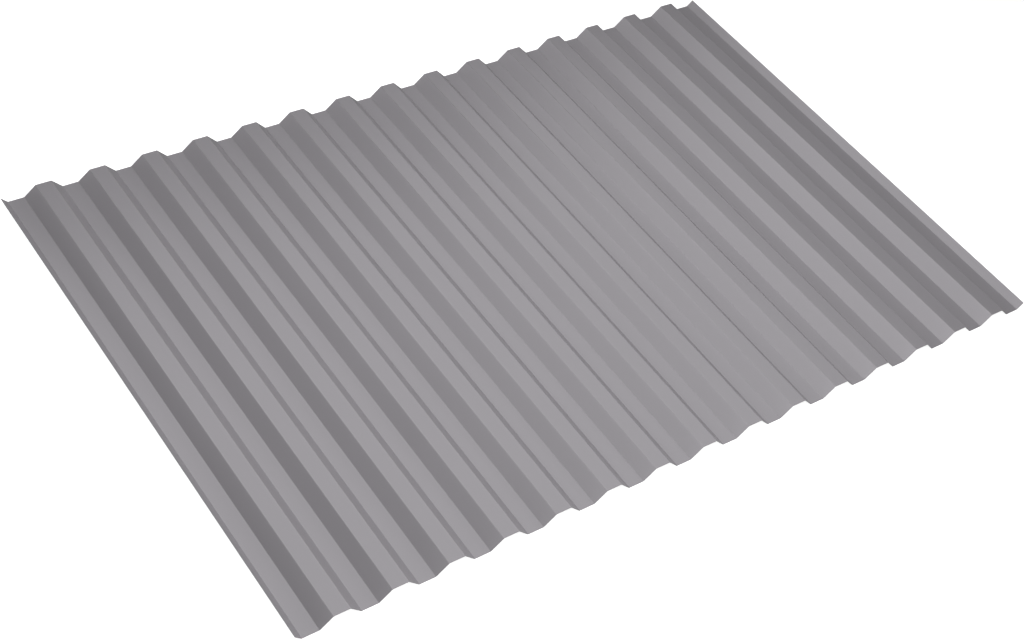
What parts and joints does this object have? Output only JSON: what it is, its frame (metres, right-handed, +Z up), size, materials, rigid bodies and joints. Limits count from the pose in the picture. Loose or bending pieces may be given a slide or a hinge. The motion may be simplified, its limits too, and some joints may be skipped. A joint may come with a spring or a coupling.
{
  "type": "corrugated metal sheet",
  "caption": "Rectangular corrugated steel sheet for roofing or cladding: one thin coated strip roll formed into parallel trapezoidal ribs, with part flanks turned up at both side edges.",
  "frame": {"origin": "middle of the sheet, on the level of the undersides of its valleys, which it lies on", "axes": "+X across the ribs, towards one side edge; +Y along the ribs; +Z up, from the lying face towards the rib tops"},
  "size_m": [1.0732, 0.69, 0.0146],
  "materials": {
    "coated_steel": "satin light grey coil coating"
  },
  "bodies": {
    "root": {"corrugated_sheet": "coated_steel"}
  },
  "joints": []
}
